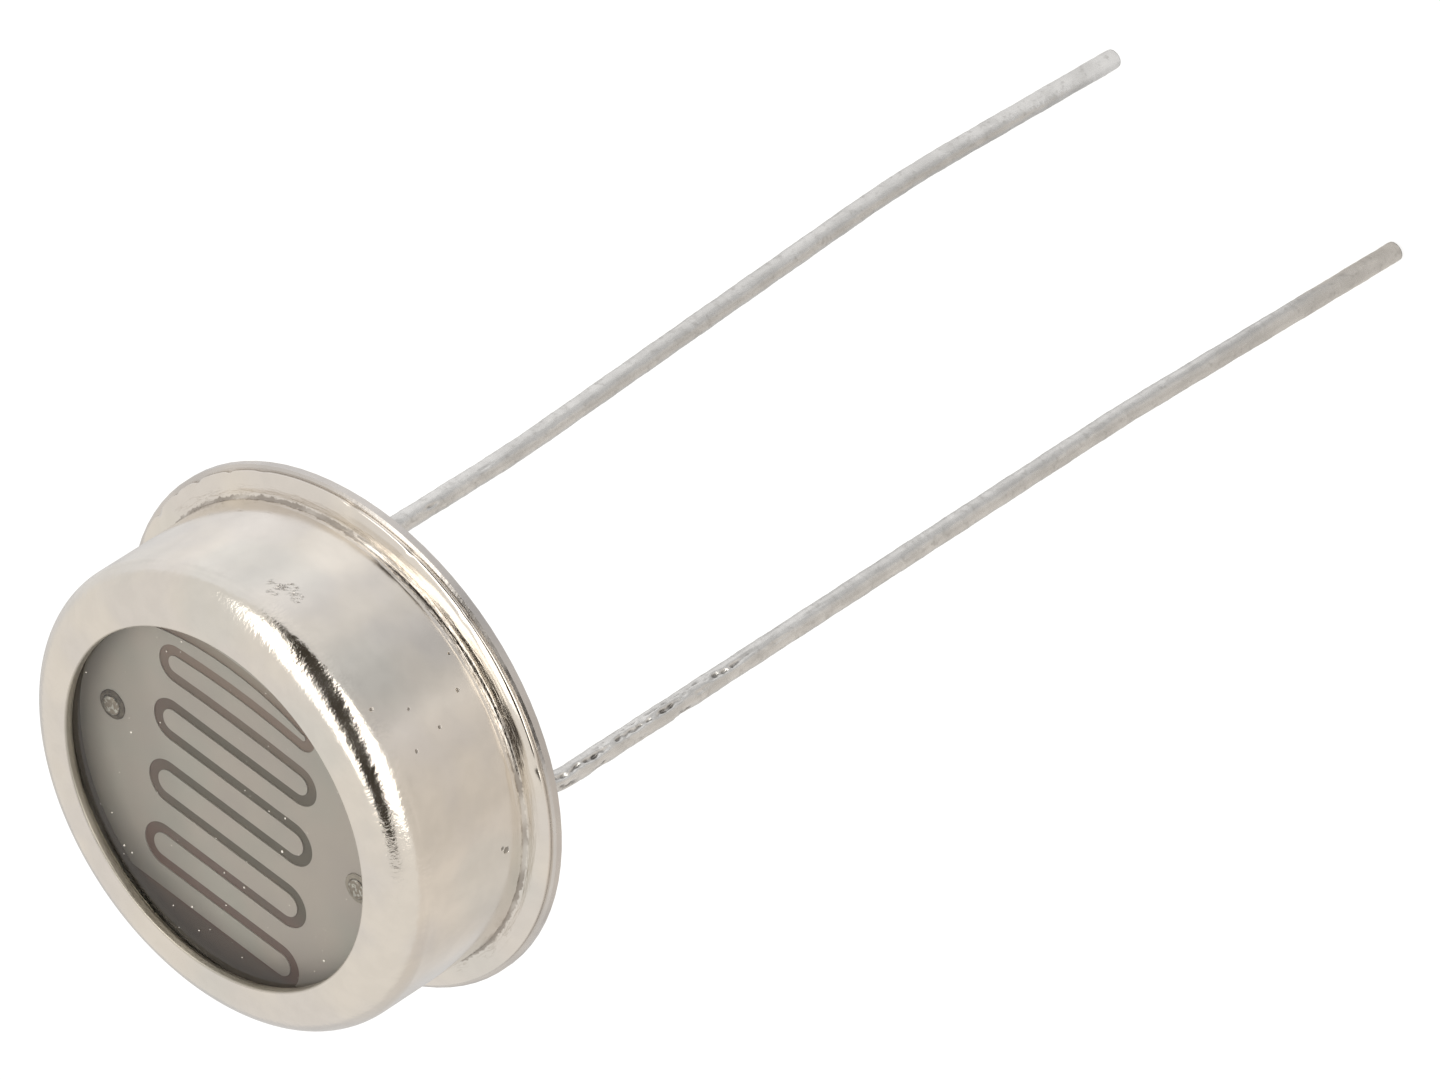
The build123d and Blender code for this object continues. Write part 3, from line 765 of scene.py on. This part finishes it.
def photoconductor():
    """Dark brown film: olive in the middle rows, redder near the left turns, the top and the
    bottom, paler toward the top, and greyer where it is bare."""
    material, tree, output = new_material("photoconductor")
    here = place(tree)
    sideways, upward, _ = add_node(tree, "ShaderNodeSeparateXYZ", {"Vector": here}).outputs
    row = calc(tree, "ABSOLUTE", calc(tree, "SUBTRACT", upward, 0.0002))
    sway = calc(tree, "SUBTRACT", noise(tree, here, 500.0, 2.0), 0.5)
    row = calc(tree, "ADD", row, calc(tree, "MULTIPLY", sway, 0.004))
    red = calc(tree, "MAXIMUM", spread(tree, row, 0.0018, 0.0036),
               spread(tree, sideways, -0.0032, -0.0014, 0.8, 0.0))
    colour = mix(tree, red, (0.050, 0.037, 0.020, 1), (0.080, 0.036, 0.026, 1))
    colour = mix(tree, spread(tree, upward, 0.0012, 0.0038), colour, (0.168, 0.110, 0.085, 1))
    colour = mix(tree, spread(tree, upward, 0.0037, 0.0042), colour, (0.25, 0.205, 0.17, 1))
    flat = vector_calc(tree, "MULTIPLY", here, (1, 1, 0)).outputs[0]
    from_middle = add_node(tree, "ShaderNodeVectorMath", {0: flat}, operation="LENGTH").outputs["Value"]
    bare = calc(tree, "MAXIMUM", spread(tree, upward, -0.0050, -0.0046, 1.0, 0.0),
                spread(tree, from_middle, 0.0054, 0.0056))
    colour = mix(tree, bare, colour, (0.076, 0.054, 0.046, 1))
    colour = mix(tree, spread(tree, from_middle, 0.0055, 0.0058), colour, (0.135, 0.108, 0.092, 1))
    rough = spread(tree, noise(tree, here, 2500.0, 2.0), 0.3, 0.7, 0.28, 0.40)
    surface(tree, output, Base_Color=colour, Roughness=rough, IOR=1.65)
    return material


def ceramic():
    """Pale fired alumina with a fine grain."""
    material, tree, output = new_material("alumina")
    here = place(tree)
    grain = noise(tree, here, 6000.0, 3.0)
    colour = mix(tree, spread(tree, grain, 0.3, 0.7), (0.62, 0.60, 0.56, 1), (0.54, 0.52, 0.48, 1))
    surface(tree, output, Base_Color=colour, Roughness=0.7, Normal=bump(tree, grain, 0.00001))
    return material


dress(["electrode_left", "electrode_right"], electrode_film())
dress(["cds_layer"], photoconductor())
dress(["ceramic_substrate"], ceramic())


# %% [markdown]
# ## Glass
# The window is clear glass. A shader that bends light would move the cell sideways, and the cell
# was measured through the glass as the photograph shows it, so the window here doesn't bend
# light: it is clear, with a mirror mixed in by Fresnel's law on its outer faces alone. The ring
# that seals it is cloudy glass of an olive colour, and the beads round the leads are a very dark
# green, so on both a plain glossy surface does as well.

# %% Glass finishes
def window_glass():
    """Clear, with a mirror mixed in by angle. The inner sides of its faces don't mirror, since
    nothing bends."""
    material, tree, output = new_material("window_glass")
    clear = add_node(tree, "ShaderNodeBsdfTransparent", {"Color": (0.97, 0.975, 0.96, 1)})
    shine = add_node(tree, "ShaderNodeBsdfGlossy", {"Color": (1, 1, 1, 1), "Roughness": 0.03})
    angle = add_node(tree, "ShaderNodeFresnel", {"IOR": 1.5}).outputs[0]
    behind = add_node(tree, "ShaderNodeNewGeometry").outputs["Backfacing"]
    amount = calc(tree, "MULTIPLY", angle, calc(tree, "SUBTRACT", 1.0, behind))
    both = add_node(tree, "ShaderNodeMixShader", {0: amount, 1: clear.outputs[0], 2: shine.outputs[0]})
    tree.links.new(both.outputs[0], output.inputs["Surface"])
    return material


def cloudy_glass(name, first, second, rough):
    """Cloudy glass of two close colours with small bubbles."""
    material, tree, output = new_material(name)
    here = place(tree)
    clouds = noise(tree, here, 1500.0, 3.0)
    bubbles = cells(tree, here, 5200.0)
    colour = mix(tree, spread(tree, clouds, 0.35, 0.65), first, second)
    normal = bump(tree, spread(tree, bubbles, 0.0, 0.35), 0.00001)
    surface(tree, output, Base_Color=colour, Roughness=rough, Normal=normal)
    return material


dress(["window_glass"], window_glass())
dress(["window_seal"], cloudy_glass("sealing_glass", (0.56, 0.51, 0.40, 1), (0.42, 0.38, 0.29, 1), 0.30))
dress(["glass_seal_left", "glass_seal_right"],
      cloudy_glass("bead_glass", (0.035, 0.05, 0.045, 1), (0.06, 0.075, 0.06, 1), 0.12))

# %% [markdown]
# ## Contact beads
# Where a lead comes through the cell, a ring of conductive cement joins it to its electrode. It
# is lumpy and a little shiny, and bright flecks of the lead's tip show in its middle. The same
# cement is painted dark on the left bead, as painted shade, and paler on the right, as painted
# light. The CAD ring is too even, so a lumpy ring takes its place: a half-round section spun
# round the lead, with its radius and height changed by a few waves that never line up within
# one turn.

# %% Contact beads
BEAD_LOW, FILM_FACE = 4.22, 4.30
BEAD_RADIUS, BEAD_FOOT, BEAD_CROWN, BEAD_TURNS = 0.445, 0.385, 0.055, 72


def bead_surface(x, seed):
    """A section from the lead's side over a rounded top to the film, spun round the lead. Four
    waves of the angle, each shifted by chance, change its outer radius and its height."""
    angle = np.linspace(0, 2 * math.pi, BEAD_TURNS, endpoint=False)
    waves = np.random.default_rng(seed).uniform(0, 2 * math.pi, 4)
    lumps = sum(np.sin(n * angle + w) / n for n, w in zip((2, 3, 5, 9), waves))
    outer = BEAD_RADIUS + 0.016 * lumps
    crown = BEAD_CROWN + 0.014 * np.roll(lumps, 17)
    part = np.linspace(0, 1, 12)[:, None]
    radius = LEAD_RADIUS + (outer - LEAD_RADIUS)[None, :] * part
    dome = np.sqrt(np.clip(1 - (2 * part - 1) ** 2, 0, 1))
    height = FILM_FACE + crown[None, :] * dome + 0.03 * (1 - part) ** 2
    height[-1] = FILM_FACE
    foot = ((BEAD_FOOT, FILM_FACE), (BEAD_FOOT, BEAD_LOW), (LEAD_RADIUS, BEAD_LOW))
    radius = np.concatenate([radius] + [np.full((1, BEAD_TURNS), r) for r, _ in foot])
    height = np.concatenate([height] + [np.full((1, BEAD_TURNS), h) for _, h in foot])
    points = np.stack([x + radius * np.cos(angle), radius * np.sin(angle), height], -1) * MM
    return points.reshape(-1, 3), len(radius)


def cement():
    """Olive-brown cement with shiny flecks, painted dark on the left bead as shade and paler on the right one
    as light.
    """
    material, tree, output = new_material("cement")
    here = place(tree)
    clouds = noise(tree, here, 5000.0, 3.0)
    colour = mix(tree, spread(tree, clouds, 0.35, 0.65), (0.105, 0.086, 0.068, 1), (0.062, 0.050, 0.040, 1))
    sideways = add_node(tree, "ShaderNodeSeparateXYZ", {"Vector": here}).outputs["X"]
    # Painted shade and light: the same cement is painted darker on the left bead and paler on the right one.
    colour = mix(tree, spread(tree, sideways, -0.001, 0.001), colour, (0.30, 0.265, 0.23, 1))
    fleck = cells(tree, here, 9000.0)
    rough = spread(tree, clouds, 0.3, 0.7, 0.45, 0.65)
    surface(tree, output, Base_Color=colour, Roughness=rough, IOR=1.35, Normal=bump(tree, fleck, 0.00002))
    return material


cement_finish = cement()
for side, x in (("left", -LEAD_PLACE), ("right", LEAD_PLACE)):
    points, rows = bead_surface(x, seed=len(side))
    faces = grid_faces(rows, BEAD_TURNS, wrap_rows=True, wrap_columns=True)
    bead = mesh_piece("cement_" + side, points, faces[:, ::-1], cement_finish)
    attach(bead, "root")
    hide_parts("contact_bead_" + side)
    print(bead.name, len(faces), "faces")

# %% [markdown]
# ## Dust on the window
# The glass carries a few bright specks of dust, most of them a twentieth of a millimetre wide.
# They could be white dots in the glass finish, but real grains stand on the glass and catch
# light from all sides. Each grain is a small faceted ball, squashed and pushed out of shape by
# seeded random numbers, and all the grains are one mesh.

# %% Dust
# The larger grains: x, y and width. The small ones are strewn by chance within DUST_REACH.
DUST = ((-5.23, 1.14, 7), (-3.20, 0.27, 6), (-3.42, -2.79, 4), (-2.86, -3.57, 6), (-2.56, -3.60, 5),
        (-0.33, -3.89, 7), (0.77, 1.15, 4), (2.20, 1.22, 5), (2.28, 0.09, 7), (0.09, -1.09, 4),
        (1.25, -2.00, 6), (0.76, -3.02, 4), (0.53, -2.00, 4), (-2.04, 4.39, 5), (-2.48, 3.71, 4),
        (-2.31, 1.29, 4), (-3.68, -4.19, 3), (-4.97, 1.12, 4), (4.20, -2.41, 6), (1.65, 1.06, 4),
        (-2.05, -1.04, 3), (-3.39, -1.32, 3), (0.02, -4.50, 4), (2.79, -1.48, 3),
        (-0.95, -4.32, 4), (1.55, -4.32, 3))
STREWN, DUST_REACH, GLASS_FACE = 46, 5.1, 4.90
GRAIN_SIZE = 0.0068                     # half a grain's size for each unit of its width


def grains(spots, floor, seed):
    """For each spot (x, y, width in hundredths of a millimetre), the eight-faced ball's six
    corners, each pushed in or out by chance, are scaled to the width and stood on the floor."""
    chance = np.random.default_rng(seed)
    corners = np.array([(1, 0, 0), (0, 1, 0), (-1, 0, 0), (0, -1, 0), (0, 0, 1), (0, 0, -1)], float)
    sides = np.array([(k, (k + 1) % 4, 4) for k in range(4)] + [((k + 1) % 4, k, 5) for k in range(4)])
    spot = np.array(spots, float)
    size = spot[:, 2] * GRAIN_SIZE
    shape = corners[None] * chance.uniform(0.6, 1.25, (len(spot), 6, 1)) * size[:, None, None]
    shape[..., 2] *= 0.8
    lift = floor - shape[..., 2].min(1)
    points = shape + np.stack([spot[:, 0], spot[:, 1], lift], 1)[:, None, :]
    faces = sides[None] + 6 * np.arange(len(spot))[:, None, None]
    return points.reshape(-1, 3) * MM, faces.reshape(-1, 3)


def dust_finish():
    """Pale lint and grit."""
    material, tree, output = new_material("dust")
    here = place(tree)
    clouds = spread(tree, noise(tree, here, 700.0, 1.0), 0.4, 0.6)
    colour = mix(tree, clouds, (0.88, 0.84, 0.78, 1), (0.70, 0.67, 0.62, 1))
    surface(tree, output, Base_Color=colour, Roughness=0.7)
    return material


chance = np.random.default_rng(12)
spin = chance.uniform(0, 2 * math.pi, STREWN)
reach = DUST_REACH * np.sqrt(chance.uniform(0, 1, STREWN))
strewn = np.stack([reach * np.cos(spin), reach * np.sin(spin), chance.uniform(1.5, 3.2, STREWN)], 1)
points, faces = grains(np.concatenate([np.array(DUST), strewn]), GLASS_FACE, seed=7)
dust = mesh_piece("dust_on_window", points, faces, dust_finish(), smooth=False)
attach(dust, "root")
print("dust:", len(DUST) + len(strewn), "grains")
